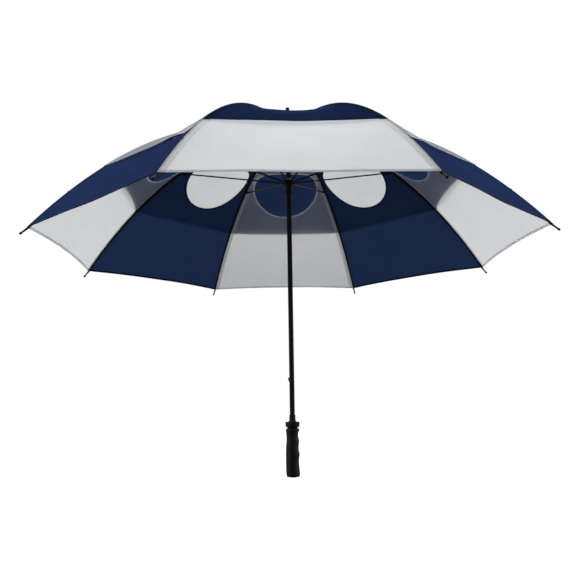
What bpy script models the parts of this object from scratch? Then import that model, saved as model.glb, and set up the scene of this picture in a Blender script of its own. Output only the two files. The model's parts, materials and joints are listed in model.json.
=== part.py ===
"""A 62-inch golf umbrella with a vented double canopy, eight ribs and a straight grip.

Metres, +Z up. The origin is the middle of the handle's lower end, and the shaft stands on the Z axis.
The umbrella is open at rest. Rib 1 points 22.5 degrees from +X, and panel 1 lies between ribs 1 and 2.
"""
import math

import bmesh
import bpy
from mathutils import Matrix, Vector

# ---- Driving dimensions ----
RIBS = 8
HALF_PANEL = math.pi / RIBS

RIM_RADIUS = 0.670          # shaft axis to the end of an open rib's tip
RIM_Z = 0.571               # height of the open rib tips
DOME_HEIGHT = 0.3605        # the canopy's crown above the rib tips
DOME_POWER = 2.31           # how late the dome falls away from its crown

CLOTH = 0.0005              # thickness of a canopy panel
CLOTH_GAP = 0.0004          # between the edges of neighbouring panels
PANEL_INNER = 0.0088        # panels reach this far in at the crown, along a rib
PANEL_CORNER = 0.979        # hem's corner, as a share of the rim radius
PANEL_HEM_MIDDLE = 0.962    # hem's middle, as a share of the rim radius
PANEL_SAG = 0.0449          # deepest dip between two ribs, as a share of the rim radius
PANEL_SAG_AT = 0.381
PANEL_SAG_POWER = 1.93
VENT_LIFT = 0.0028          # the vent canopy lies this far above the lower one at a rib
VENT_CORNER = 0.735
VENT_HEM_MIDDLE = 0.717
VENT_SAG = 0.0357
VENT_SAG_AT = 0.305
VENT_SAG_POWER = 1.88
HOLE_AT = 0.475             # middle of a panel's round vent hole, as a share of the rim radius
HOLE_RADIUS = 0.0985

SHAFT_RADIUS = 0.0065
SHAFT_WALL = 0.0006
SHAFT_BOTTOM = 0.0069
SHAFT_TOP = 0.9560
SLIDE_BORE = 0.0071         # bore of what slides or sits on the shaft
FIXED_BORE = 0.0068

RIB_RADIUS = 0.0019
RIB_OFFSET = 0.0054         # rib's centreline under the canopy, square to it
RIB_RISE = 0.0022           # how much closer it comes to the canopy at its end
RIB_END = 0.9765            # where the rod ends and its tip begins, as a share of the rim radius
PIVOT_RADIUS = 0.013        # pivots at the crown and on the runner
JOINT_RADIUS = 0.3385       # where a stretcher meets its rib
CLOSED_JOINT_RADIUS = 0.024
CLOSED_TIP_RADIUS = 0.022
EYE_HALF = 0.0011           # half the thickness of a flattened eye
EYE_RADIUS = 0.0023
EYE_HOLE = 0.0009
PIN_RADIUS = 0.00095
PIN_HOLE = 0.00125
FORK_IN = 0.0014            # rib fork's cheeks, from the middle plane
FORK_OUT = 0.0026
CHEEK_IN = 0.0029           # stretcher's cheeks straddle the rib fork
CHEEK_OUT = 0.0039
CHEEK_LENGTH = 0.028
STRETCHER_RADIUS = 0.0017
WIRE_RADIUS = 0.00055

RUNNER_TOP = 0.0060         # above its pivots
RUNNER_BOTTOM = -0.0325
WINDOW_LOW = -0.0275        # the runner's catch window, below its pivots
WINDOW_HIGH = -0.0105
FLANGE_RADIUS = 0.0165
NOTCH_SLOT = 0.0029
RUNNER_SLOT = 0.0042

CATCH_HALF = 0.0012
CATCH_PROUD = 0.0038        # how far a catch's nose stands out of the shaft
CATCH_REACH = 0.038         # from a catch's pivot up to its nose

COLLECTION = "golf_umbrella"


# ---- Geometry that the pieces share ----
def canopy_height(radius):
    """Height of the canopy over a rib, at a distance from the shaft axis."""
    return RIM_Z + DOME_HEIGHT * (1 - (radius / RIM_RADIUS) ** DOME_POWER)


def canopy_slope(radius):
    """How steeply the canopy falls over a rib, in radians."""
    rate = DOME_HEIGHT * DOME_POWER / RIM_RADIUS
    return math.atan(rate * (radius / RIM_RADIUS) ** (DOME_POWER - 1))


def rib_point(radius):
    """(distance from the axis, height) of the rib's centreline under the canopy's point at that radius."""
    slope = canopy_slope(radius)
    late = min(1.0, max(0.0, (radius - 0.43) / (RIB_END * RIM_RADIUS - 0.43)))
    under = RIB_OFFSET - RIB_RISE * late * late * (3 - 2 * late)
    return (radius - under * math.sin(slope), canopy_height(radius) - under * math.cos(slope))


def dip(share, depth, at, power):
    """Sag between two ribs: nothing at the crown, depth at its deepest, fading to the hem."""
    x = share / at
    return RIM_RADIUS * depth * (x * math.exp(1 - x)) ** power


CROWN_PIVOT = (PIVOT_RADIUS, rib_point(PIVOT_RADIUS)[1])
RIB_JOINT = rib_point(JOINT_RADIUS)
LINK = math.dist(CROWN_PIVOT, RIB_JOINT)
OPEN_ANGLE = math.asin((CROWN_PIVOT[1] - RIB_JOINT[1]) / LINK)
CLOSED_ANGLE = math.acos((CLOSED_JOINT_RADIUS - PIVOT_RADIUS) / LINK)
RUNNER_PIVOT_Z = CROWN_PIVOT[1] - 2 * LINK * math.sin(OPEN_ANGLE)
RUNNER_TRAVEL = 2 * LINK * (math.sin(CLOSED_ANGLE) - math.sin(OPEN_ANGLE))
RIB_SWING = CLOSED_ANGLE - OPEN_ANGLE
RIB_TIP = rib_point(RIM_RADIUS)
OUTER_LENGTH = math.dist(RIB_JOINT, RIB_TIP)
OUTER_OPEN = math.asin((RIB_JOINT[1] - RIB_TIP[1]) / OUTER_LENGTH)
OUTER_CLOSED = math.acos((CLOSED_TIP_RADIUS - CLOSED_JOINT_RADIUS) / OUTER_LENGTH)
OUTER_SWING = OUTER_CLOSED - OUTER_OPEN - RIB_SWING

TOP_CATCH_Z = RUNNER_PIVOT_Z + WINDOW_HIGH - 0.0040
BOTTOM_CATCH_Z = RUNNER_PIVOT_Z - RUNNER_TRAVEL + WINDOW_LOW + 0.0114


# ---- Scene helpers ----
def clear_scene():
    for item in list(bpy.data.objects):
        bpy.data.objects.remove(item, do_unlink=True)


def collection(name):
    found = bpy.data.collections.get(name) or bpy.data.collections.new(name)
    if name not in bpy.context.scene.collection.children:
        bpy.context.scene.collection.children.link(found)
    return found


def material(name, colour, roughness, metallic=0.0):
    made = bpy.data.materials.new(name)
    made.use_nodes = True
    shader = made.node_tree.nodes["Principled BSDF"]
    shader.inputs["Base Color"].default_value = (*colour, 1.0)
    shader.inputs["Roughness"].default_value = roughness
    shader.inputs["Metallic"].default_value = metallic
    return made


def add_object(name, mesh, finish=None, place=COLLECTION):
    made = bpy.data.objects.new(name, mesh)
    collection(place).objects.link(made)
    if finish:
        colour, roughness, metallic = finish
        made.data.materials.clear()
        made.data.materials.append(material(name, colour, roughness, metallic))
    return made


def mesh_from(bm, name):
    bmesh.ops.recalc_face_normals(bm, faces=bm.faces)
    mesh = bpy.data.meshes.new(name)
    bm.to_mesh(mesh)
    bm.free()
    return mesh


def box(low, high):
    """A box between two corners, as a bmesh."""
    bm = bmesh.new()
    size = Vector(high) - Vector(low)
    middle = (Vector(high) + Vector(low)) / 2
    bmesh.ops.create_cube(bm, size=1.0, matrix=Matrix.Translation(middle) @ Matrix.Diagonal((*size, 1.0)))
    return bm


def peg(x, z, radius, half, sides=8):
    """A cylinder along Y through (x, z), as a bmesh."""
    bm = bmesh.new()
    turn = Matrix.Translation((x, 0, z)) @ Matrix.Rotation(math.pi / 2, 4, "X")
    bmesh.ops.create_cone(
        bm, cap_ends=True, segments=sides, radius1=radius, radius2=radius, depth=2 * half, matrix=turn
    )
    return bm


def turned(name, profile, steps=32, finish=None, place=COLLECTION):
    """A closed ring profile [(radius, z), ...] turned about Z. Its outer side runs from top to bottom."""
    bm = bmesh.new()
    corners = [bm.verts.new((radius, 0, z)) for radius, z in profile]
    on_axis = profile[0][0] == 0
    pairs = list(zip(corners, corners[1:]))
    if not on_axis:
        pairs.append((corners[-1], corners[0]))
    for first, second in pairs:
        bm.edges.new((first, second))
    mesh = bpy.data.meshes.new(name)
    bm.to_mesh(mesh)
    bm.free()
    made = add_object(name, mesh, finish, place)
    screw = made.modifiers.new("Turn", "SCREW")
    screw.steps = screw.render_steps = steps
    screw.use_merge_vertices = True
    screw.merge_threshold = 0.00002
    return made


def evaluated_mesh(item, name):
    """The item's mesh with its modifiers applied, and the item removed."""
    bpy.context.view_layer.update()
    graph = bpy.context.evaluated_depsgraph_get()
    mesh = bpy.data.meshes.new_from_object(item.evaluated_get(graph))
    mesh.name = name
    bpy.data.objects.remove(item, do_unlink=True)
    return mesh


def rod(name, points, radius):
    """A round rod through points in the XZ plane, as a mesh with welded caps."""
    curve = bpy.data.curves.new(name, "CURVE")
    curve.dimensions = "3D"
    curve.bevel_depth = radius
    curve.bevel_resolution = 2
    curve.use_fill_caps = True
    spline = curve.splines.new("POLY")
    spline.points.add(len(points) - 1)
    for point, (x, z) in zip(spline.points, points):
        point.co = (x, 0, z, 1)
    item = bpy.data.objects.new(name, curve)
    collection("tools").objects.link(item)
    mesh = evaluated_mesh(item, name)
    bm = bmesh.new()
    bm.from_mesh(mesh)
    bmesh.ops.remove_doubles(bm, verts=bm.verts, dist=0.00001)
    bmesh.ops.recalc_face_normals(bm, faces=bm.faces)
    bm.to_mesh(mesh)
    bm.free()
    return mesh


def combine(name, base, joined=(), cut=()):
    """base with other bmeshes joined to it and then cut from it, as a mesh."""
    item = add_object(name, base, place="tools")
    operands = []
    for number, (operation, bm) in enumerate([("UNION", b) for b in joined] + [("DIFFERENCE", b) for b in cut]):
        tool = add_object(f"{name}_tool_{number}", mesh_from(bm, name), place="tools")
        change = item.modifiers.new(operation, "BOOLEAN")
        change.operation = operation
        change.object = tool
        operands.append(tool)
    mesh = evaluated_mesh(item, name)
    for tool in operands:
        bpy.data.objects.remove(tool, do_unlink=True)
    bm = bmesh.new()
    bm.from_mesh(mesh)
    bmesh.ops.remove_doubles(bm, verts=bm.verts, dist=0.000005)
    bmesh.ops.dissolve_limit(bm, angle_limit=0.001, verts=bm.verts, edges=bm.edges)
    bm.to_mesh(mesh)
    bm.free()
    return mesh


def cut_by(item, bm):
    """Cuts a bmesh, given in world places, from an object with a Boolean that stays on it."""
    tool = add_object(f"{item.name}_cutter", mesh_from(bm, f"{item.name}_cutter"), place="cutters")
    tool.hide_render = True
    tool.display_type = "WIRE"
    change = item.modifiers.new("Cut", "BOOLEAN")
    change.operation = "DIFFERENCE"
    change.object = tool
    return item


def merged(bmeshes):
    """Several bmeshes that don't touch, as one."""
    whole = bmesh.new()
    for part in bmeshes:
        mesh = bpy.data.meshes.new("part")
        part.to_mesh(mesh)
        part.free()
        whole.from_mesh(mesh)
        bpy.data.meshes.remove(mesh)
    return whole


def moved(bm, matrix):
    bmesh.ops.transform(bm, matrix=matrix, verts=bm.verts)
    return bm


def spin(angle):
    return Matrix.Rotation(angle, 4, "Z")


def rib_angle(index):
    return HALF_PANEL + index * 2 * HALF_PANEL


def pivot_empty(name, matrix, parent=None):
    """An empty on a joint's axis, which is the empty's local Y."""
    empty = bpy.data.objects.new(name, None)
    empty.empty_display_size = 0.01
    collection(COLLECTION).objects.link(empty)
    empty.parent = parent
    empty.matrix_world = matrix
    return empty


def hang(item, empty):
    """Puts an item, whose mesh is built around its pivot, on that pivot's empty."""
    item.parent = empty
    return item


# ---- Finishes: colour, roughness, metallic ----
BLACK_PAINT = ((0.012, 0.012, 0.013), 0.35, 0.0)
BLACK_FIBREGLASS = ((0.010, 0.010, 0.011), 0.30, 0.0)
BLACK_PLASTIC = ((0.014, 0.014, 0.015), 0.50, 0.0)
BLACK_RUBBER = ((0.011, 0.011, 0.012), 0.70, 0.0)
BRIGHT_STEEL = ((0.55, 0.55, 0.56), 0.30, 1.0)
NAVY_CLOTH = ((0.012, 0.024, 0.075), 0.80, 0.0)
WHITE_CLOTH = ((0.80, 0.81, 0.83), 0.80, 0.0)


# ---- Shaft and crown ----
def build_shaft():
    inner = SHAFT_RADIUS - SHAFT_WALL
    shaft = turned(
        "shaft_tube",
        [(SHAFT_RADIUS, SHAFT_TOP), (SHAFT_RADIUS, SHAFT_BOTTOM), (inner, SHAFT_BOTTOM), (inner, SHAFT_TOP)],
        24,
        BLACK_PAINT,
    )
    slots = [
        box((-0.012, -CATCH_HALF - 0.0004, z - 0.0165), (-0.003, CATCH_HALF + 0.0004, z + 0.0055))
        for z in (TOP_CATCH_Z, BOTTOM_CATCH_Z)
    ]
    return cut_by(shaft, merged(slots))


def build_ferrule():
    low = 0.9419
    turned(
        "ferrule",
        [
            (0, 0.9975), (0.0030, 0.9972), (0.0047, 0.9960), (0.0053, 0.9935), (0.0055, 0.9890),
            (0.0062, 0.9605), (0.0066, 0.9545), (0.0083, 0.9510), (0.0085, low),
            (FIXED_BORE + 0.0002, low), (FIXED_BORE + 0.0002, SHAFT_TOP + 0.0005), (0, SHAFT_TOP + 0.0005),
        ],
        20,
        BLACK_PLASTIC,
    )


def build_crown():
    z = CROWN_PIVOT[1]
    slots = [
        moved(box((0.0100, -NOTCH_SLOT / 2, z - 0.008), (0.022, NOTCH_SLOT / 2, z + 0.004)), spin(rib_angle(i)))
        for i in range(RIBS)
    ]
    notch = turned(
        "crown_notch",
        [
            (0.0120, z + 0.0020), (0.0120, z - 0.0009), (0.0140, z - 0.0009), (0.0140, z + 0.0014),
            (0.0160, z + 0.0010), (FLANGE_RADIUS, z - 0.0004), (FLANGE_RADIUS, z - 0.0032),
            (0.0150, z - 0.0042), (0.0098, z - 0.0048), (0.0090, z - 0.0060), (0.0088, z - 0.0160),
            (0.0082, z - 0.0170), (FIXED_BORE, z - 0.0170), (FIXED_BORE, z + 0.0020),
        ],
        32,
        BLACK_PLASTIC,
    )
    cut_by(notch, merged(slots))
    steps = 6
    ring = [
        (PIVOT_RADIUS + WIRE_RADIUS * math.cos(a), z - WIRE_RADIUS * math.sin(a))
        for a in [2 * math.pi * k / steps for k in range(steps)]
    ]
    turned("crown_ring", ring, 24, BRIGHT_STEEL)
    turned(
        "crown_cap",
        [
            (0.0085, 0.9413), (0.0120, 0.9404), (0.0155, 0.9379), (0.0170, 0.9359), (0.0168, 0.9353),
            (FIXED_BORE, 0.9353), (FIXED_BORE, 0.9413),
        ],
        24,
        BLACK_PLASTIC,
    )


# ---- Runner, its stop and the two catches ----
def build_runner():
    z = RUNNER_PIVOT_Z
    slots = [
        moved(box((0.0101, -RUNNER_SLOT / 2, z - 0.009), (0.022, RUNNER_SLOT / 2, z + 0.004)), spin(rib_angle(i)))
        for i in range(RIBS)
    ]
    window = box((-0.013, -0.0021, z + WINDOW_LOW), (-0.0055, 0.0021, z + WINDOW_HIGH))
    runner = turned(
        "runner",
        [
            (0.0088, z + RUNNER_TOP), (0.0092, z + 0.0050), (0.0092, z + 0.0030), (0.0155, z + 0.0026),
            (FLANGE_RADIUS, z + 0.0016), (FLANGE_RADIUS, z - 0.0044), (0.0152, z - 0.0056),
            (0.0094, z - 0.0066), (0.0092, z - 0.0200), (0.0101, z - 0.0250), (0.0102, z - 0.0300),
            (0.0096, z - 0.0320), (0.0084, z + RUNNER_BOTTOM), (SLIDE_BORE, z + RUNNER_BOTTOM),
            (SLIDE_BORE, z + RUNNER_TOP),
        ],
        32,
        BLACK_PLASTIC,
    )
    cut_by(runner, merged(slots + [window]))
    low = z + RUNNER_TOP + 0.0006
    turned(
        "runner_stop",
        [(0.0080, low + 0.0035), (0.0084, low + 0.0030), (0.0084, low), (FIXED_BORE, low), (FIXED_BORE, low + 0.0035)],
        24,
        BRIGHT_STEEL,
    )


def build_catch(name, nose_z):
    """A sprung latch: a blade inside the shaft and a wedge nose through its slot, facing -X."""
    apex = SHAFT_RADIUS + CATCH_PROUD
    outline = [
        (0.0008, -CATCH_REACH - 0.002), (0.0036, -CATCH_REACH - 0.002), (0.0036, -0.0150), (0.0052, -0.0140),
        (apex, 0.0), (apex - 0.0006, 0.0014), (0.0052, 0.0042), (0.0036, 0.0048), (0.0036, 0.0070), (0.0008, 0.0070),
    ]
    curve = bpy.data.curves.new(name, "CURVE")
    curve.dimensions = "2D"
    curve.fill_mode = "BOTH"
    curve.extrude = CATCH_HALF
    spline = curve.splines.new("POLY")
    spline.points.add(len(outline) - 1)
    for point, (out, up) in zip(spline.points, outline):
        point.co = (-out + 0.0022, up + CATCH_REACH, 0, 1)
    spline.use_cyclic_u = True
    item = bpy.data.objects.new(name, curve)
    collection("tools").objects.link(item)
    mesh = evaluated_mesh(item, name)
    bm = bmesh.new()
    bm.from_mesh(mesh)
    bmesh.ops.remove_doubles(bm, verts=bm.verts, dist=0.00001)
    moved(bm, Matrix.Rotation(math.pi / 2, 4, "X"))
    bmesh.ops.recalc_face_normals(bm, faces=bm.faces)
    bm.to_mesh(mesh)
    bm.free()
    empty = pivot_empty(f"{name}_pivot", Matrix.Translation((-0.0022, 0, nose_z - CATCH_REACH)))
    hang(add_object(name, mesh, BRIGHT_STEEL), empty)


# ---- Handle ----
def build_handle():
    turned(
        "handle_collar",
        [
            (0.0078, 0.1550), (0.0082, 0.1480), (0.0096, 0.1405), (0.0105, 0.1384), (0.0168, 0.1376),
            (0.0180, 0.1366), (0.0181, 0.1310), (0.0174, 0.1262), (0.0160, 0.1248), (0.0137, 0.1238),
            (0.0137, 0.1212), (FIXED_BORE, 0.1212), (FIXED_BORE, 0.1550),
        ],
        28,
        BLACK_RUBBER,
    )
    build_grip()
    turned(
        "handle_end_cap",
        [
            (0, 0.0160), (0.0054, 0.0160), (0.0054, 0.0060), (0.0168, 0.0060), (0.0172, 0.0048),
            (0.0164, 0.0026), (0.0138, 0.0010), (0.0090, 0.0), (0, 0.0),
        ],
        28,
        BLACK_RUBBER,
    )


def build_grip():
    """The grip is turned, and then three finger grooves are pressed into its +X side."""
    outer = [
        (0.1208, 0.0158), (0.1195, 0.0170), (0.1150, 0.0171), (0.1080, 0.0162), (0.1010, 0.0159), (0.0940, 0.0160),
        (0.0870, 0.0165), (0.0810, 0.0169), (0.0745, 0.0174), (0.0680, 0.0177), (0.0610, 0.0179), (0.0540, 0.0181),
        (0.0470, 0.0182), (0.0400, 0.0182), (0.0330, 0.0181), (0.0260, 0.0180), (0.0190, 0.0179), (0.0110, 0.0177),
        (0.0064, 0.0174),
    ]
    profile = [(radius, z) for z, radius in outer]
    profile += [(FIXED_BORE, outer[-1][0]), (FIXED_BORE, outer[0][0])]
    mesh = evaluated_mesh(turned("grip", profile, 28, place="tools"), "handle_grip")
    grooves = (0.1010, 0.0745, 0.0365)
    depth, half_width = 0.0026, 0.0085
    for corner in mesh.vertices:
        across = math.hypot(corner.co.x, corner.co.y)
        if across < 0.010:
            continue
        facing = max(0.0, corner.co.x / across) ** 1.5
        press = sum(math.exp(-(((corner.co.z - z) / half_width) ** 2)) for z in grooves)
        shrink = 1 - depth * press * facing / across
        corner.co.x *= shrink
        corner.co.y *= shrink
    add_object("handle_grip", mesh, BLACK_RUBBER)


# ---- Ribs, stretchers and tips ----
def rib_rod(name, start, end, pieces, lead_in=0.0, lead_out=0.0):
    """The rod along the rib's line between two canopy radii, short of each end by a lead."""
    points = [Vector(rib_point(start + (end - start) * k / pieces)) for k in range(pieces + 1)]
    points[0] += (points[1] - points[0]).normalized() * lead_in
    points[-1] += (points[-2] - points[-1]).normalized() * lead_out
    return rod(name, [tuple(p) for p in points], RIB_RADIUS)


def along(origin, slope):
    """A frame at a point of the XZ plane whose X runs down a slope away from the shaft."""
    return Matrix.Translation((origin[0], 0, origin[1])) @ Matrix.Rotation(slope, 4, "Y")


def inner_rib_mesh():
    at_crown = along(CROWN_PIVOT, canopy_slope(PIVOT_RADIUS))
    at_joint = along(RIB_JOINT, canopy_slope(JOINT_RADIUS))
    return combine(
        "rib_inner",
        rib_rod("rib_inner", PIVOT_RADIUS, JOINT_RADIUS, 6, 0.0065, 0.0070),
        joined=[
            moved(box((0, -EYE_HALF, -0.0015), (0.0085, EYE_HALF, 0.0015)), at_crown),
            moved(peg(0, 0, EYE_RADIUS, EYE_HALF), at_crown),
            moved(box((-0.0095, -FORK_OUT, -0.0021), (0, FORK_OUT, 0.0021)), at_joint),
            moved(peg(0, 0, 0.0028, FORK_OUT), at_joint),
        ],
        cut=[
            moved(peg(0, 0, EYE_HOLE, 0.004), at_crown),
            moved(box((-0.0052, -FORK_IN, -0.006), (0.006, FORK_IN, 0.006)), at_joint),
            moved(peg(0, 0, PIN_HOLE, 0.006), at_joint),
        ],
    )


def outer_rib_mesh():
    at_joint = along(RIB_JOINT, canopy_slope(JOINT_RADIUS))
    return combine(
        "rib_outer",
        rib_rod("rib_outer", JOINT_RADIUS, RIB_END * RIM_RADIUS, 6, 0.0055),
        joined=[
            moved(box((0, -EYE_HALF, -0.0016), (0.0080, EYE_HALF, 0.0016)), at_joint),
            moved(peg(0, 0, 0.0026, EYE_HALF), at_joint),
            moved(peg(0, 0, PIN_RADIUS, 0.0044), at_joint),
        ],
    )


def stretcher_mesh():
    """The stretcher runs from the rib joint, at its frame's origin, along X to the runner."""
    height = 0.0019
    mesh = combine(
        "stretcher",
        rod("stretcher", [(CHEEK_LENGTH + 0.0015, 0), (LINK - 0.0075, 0)], STRETCHER_RADIUS),
        joined=[
            box((0, -CHEEK_OUT, -height), (CHEEK_LENGTH + 0.003, CHEEK_OUT, height)),
            peg(0, 0, 0.0023, CHEEK_OUT),
            box((LINK - 0.0090, -EYE_HALF, -0.0014), (LINK, EYE_HALF, 0.0014)),
            peg(LINK, 0, EYE_RADIUS, EYE_HALF),
        ],
        cut=[
            box((-0.005, -CHEEK_IN, -0.005), (CHEEK_LENGTH - 0.002, CHEEK_IN, 0.005)),
            peg(0, 0, PIN_HOLE, 0.006),
            peg(LINK, 0, EYE_HOLE, 0.004),
        ],
    )
    mesh.transform(along(RIB_JOINT, math.pi - OPEN_ANGLE))
    return mesh


def add_ribs():
    inner, outer, link = inner_rib_mesh(), outer_rib_mesh(), stretcher_mesh()
    crown = Vector((CROWN_PIVOT[0], 0, CROWN_PIVOT[1]))
    joint = Vector((RIB_JOINT[0], 0, RIB_JOINT[1]))
    inner.transform(Matrix.Translation(-crown))
    outer.transform(Matrix.Translation(-joint))
    link.transform(Matrix.Translation(-joint))
    for index in range(RIBS):
        turn = spin(rib_angle(index))
        number = index + 1
        hinge = pivot_empty(f"crown_pivot_{number}", turn @ Matrix.Translation(crown))
        knee = pivot_empty(f"rib_joint_{number}", turn @ Matrix.Translation(joint), hinge)
        hang(add_object(f"rib_inner_{number}", inner.copy(), BLACK_FIBREGLASS), hinge)
        hang(add_object(f"rib_outer_{number}", outer.copy(), BLACK_FIBREGLASS), knee)
        hang(add_object(f"stretcher_{number}", link.copy(), BLACK_PAINT), knee)
        add_tip(number, turn, knee)


def add_tip(number, turn, knee):
    """A rounded metal tip that carries on from the end of a rib."""
    start = Vector(rib_point(RIB_END * RIM_RADIUS))
    slope = math.atan2(start.y - RIM_Z, RIM_RADIUS - start.x)
    length = math.dist(start, (RIM_RADIUS, RIM_Z))
    profile = [
        (0, length), (0.0024, length - 0.0008), (0.0029, length - 0.0035), (0.0020, length - 0.0060),
        (0.0023, 0.0003), (0, 0.0003),
    ]
    tip = turned(f"rib_tip_{number}", profile, 8, BLACK_PAINT)
    tip.parent = knee
    tip.matrix_world = turn @ along((start.x, start.y), slope) @ Matrix.Rotation(math.pi / 2, 4, "Y")


# ---- Canopies ----
def panel_point(share, across, corner, middle, sag, lift):
    """A point of a panel centred on +X. share runs 0 to 1 from crown to hem, across -1 to 1 from rib to rib."""
    hem = RIM_RADIUS * (middle + (corner - middle) * across * across)
    radius = PANEL_INNER + (hem - PANEL_INNER) * share
    half = radius * math.sin(HALF_PANEL) - CLOTH_GAP / 2
    z = canopy_height(radius) + lift - dip(radius / RIM_RADIUS, *sag) * (1 - across * across)
    return Vector((radius * math.cos(HALF_PANEL), across * half, z))


def panel(name, index, across_cells, down_cells, shape, finish):
    """A curved cloth panel between two ribs, from a flat grid bent onto the dome and given a thickness."""
    bm = bmesh.new()
    bmesh.ops.create_grid(bm, x_segments=down_cells, y_segments=across_cells, size=0.5)
    for corner in bm.verts:
        corner.co = panel_point(corner.co.x + 0.5, corner.co.y * 2, *shape)
    # Split before the thickness is added, so that both sides bend along the same diagonals and never cross.
    bmesh.ops.triangulate(bm, faces=bm.faces, quad_method="FIXED")
    bmesh.ops.transform(bm, matrix=spin(rib_angle(index) + HALF_PANEL), verts=bm.verts)
    item = add_object(name, mesh_from(bm, name), finish)
    thick = item.modifiers.new("Cloth", "SOLIDIFY")
    thick.thickness = CLOTH
    thick.offset = 0
    return item


def hole_cutter(index):
    """A cylinder square to a panel's middle, for its round vent hole."""
    radius = HOLE_AT * RIM_RADIUS
    slope = canopy_slope(radius) * 0.95
    sag = dip(HOLE_AT, PANEL_SAG, PANEL_SAG_AT, PANEL_SAG_POWER)
    middle = Vector((radius * math.cos(HALF_PANEL), 0, canopy_height(radius) - sag))
    bm = bmesh.new()
    bmesh.ops.create_cone(
        bm, cap_ends=True, segments=24, radius1=HOLE_RADIUS, radius2=HOLE_RADIUS, depth=0.12
    )
    turn = spin(rib_angle(index) + HALF_PANEL) @ Matrix.Translation(middle) @ Matrix.Rotation(slope, 4, "Y")
    return moved(bm, turn @ Matrix.Rotation(math.radians(7.5), 4, "Z"))


def add_canopies():
    lower = (PANEL_CORNER, PANEL_HEM_MIDDLE, (PANEL_SAG, PANEL_SAG_AT, PANEL_SAG_POWER), 0.0)
    vent = (VENT_CORNER, VENT_HEM_MIDDLE, (VENT_SAG, VENT_SAG_AT, VENT_SAG_POWER), VENT_LIFT)
    for index in range(RIBS):
        number = index + 1
        is_diagonal = index % 2 == 0
        lower_finish, vent_finish = (NAVY_CLOTH, WHITE_CLOTH) if is_diagonal else (WHITE_CLOTH, NAVY_CLOTH)
        low = panel(f"canopy_panel_{number}", index, 6, 10, lower, lower_finish)
        cut_by(low, hole_cutter(index))
        low.modifiers.new("Weld", "WELD").merge_threshold = 0.0001
        panel(f"vent_panel_{number}", index, 6, 7, vent, vent_finish)


def build():
    clear_scene()
    build_shaft()
    build_ferrule()
    build_crown()
    build_runner()
    build_catch("top_catch", TOP_CATCH_Z)
    build_catch("bottom_catch", BOTTOM_CATCH_Z)
    build_handle()
    add_ribs()
    add_canopies()


build()
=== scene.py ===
import json
import math

import bmesh
import bpy
import numpy as np
from mathutils import Matrix, Vector


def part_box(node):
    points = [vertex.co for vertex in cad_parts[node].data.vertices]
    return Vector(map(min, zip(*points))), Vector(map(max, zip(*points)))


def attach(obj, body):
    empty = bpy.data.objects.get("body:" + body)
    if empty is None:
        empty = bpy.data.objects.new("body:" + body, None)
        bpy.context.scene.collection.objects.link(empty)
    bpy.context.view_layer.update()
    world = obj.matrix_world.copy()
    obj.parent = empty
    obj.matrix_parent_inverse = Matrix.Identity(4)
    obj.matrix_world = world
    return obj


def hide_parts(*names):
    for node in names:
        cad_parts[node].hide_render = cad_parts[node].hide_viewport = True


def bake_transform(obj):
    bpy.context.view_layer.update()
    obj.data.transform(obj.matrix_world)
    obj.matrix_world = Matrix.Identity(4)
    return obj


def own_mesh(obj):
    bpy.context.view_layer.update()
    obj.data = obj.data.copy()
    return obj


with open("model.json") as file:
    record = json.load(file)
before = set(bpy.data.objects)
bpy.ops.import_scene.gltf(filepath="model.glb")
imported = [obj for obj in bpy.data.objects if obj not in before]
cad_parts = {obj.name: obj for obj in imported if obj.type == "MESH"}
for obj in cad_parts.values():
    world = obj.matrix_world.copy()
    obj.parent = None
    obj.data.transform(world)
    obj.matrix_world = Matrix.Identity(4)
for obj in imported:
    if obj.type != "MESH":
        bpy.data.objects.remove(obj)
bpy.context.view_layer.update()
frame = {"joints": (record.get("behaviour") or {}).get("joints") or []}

# ---- The frame's own dimensions, in metres ----
RIBS = 8
HALF_PANEL = math.pi / RIBS
RIM_RADIUS = 0.670
RIM_Z = 0.571
DOME_HEIGHT = 0.3605
DOME_POWER = 2.31
RIB_OFFSET = 0.0054
RIB_RISE = 0.0022
RIB_END = 0.9765
JOINT_RADIUS = 0.3385
PANEL_INNER = 0.0088
SEAM_GAP = 0.0003
HEM_STITCH = 0.0034
SEAM_STITCH = 0.0032
KNEE_BLEND = 0.028
BAND = 0.0138
DOUBLED_RISE = 0.0004


def joint(name):
    return next(j for j in frame["joints"] if j["name"] == name)


def in_plane(pos):
    """(distance from the shaft's axis, height) of a joint's place."""
    return (math.hypot(pos[0], pos[1]), pos[2])


CROWN = in_plane(joint("rib_hinge_1")["pos_m"])
KNEE = in_plane(joint("rib_knee_1")["pos_m"])
LINK = math.dist(CROWN, KNEE)
OPEN_ANGLE = math.asin((CROWN[1] - KNEE[1]) / LINK)
RUNNER_PIVOT = (CROWN[0], 2 * KNEE[1] - CROWN[1])
CLOSED_KNEE_RADIUS = 0.024
CLOSED_TIP_RADIUS = 0.022

LOWER = {
    "name": "canopy", "corner": 0.979, "middle": 0.962, "sag": 0.0449, "sag_at": 0.381, "sag_power": 1.93,
    "lift": 0.0, "hole": True, "dip_inner": 0.27, "dip_outer": 0.15, "wrinkle": 0.0009,
}
VENT = {
    "name": "vent", "corner": 0.735, "middle": 0.717, "sag": 0.0357, "sag_at": 0.305, "sag_power": 1.88,
    "lift": 0.0026, "hole": False, "dip_inner": 0.23, "dip_outer": 0.10, "wrinkle": 0.0007,
}
HOLE_AT = 0.475
HOLE_RADIUS = 0.0985


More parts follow.
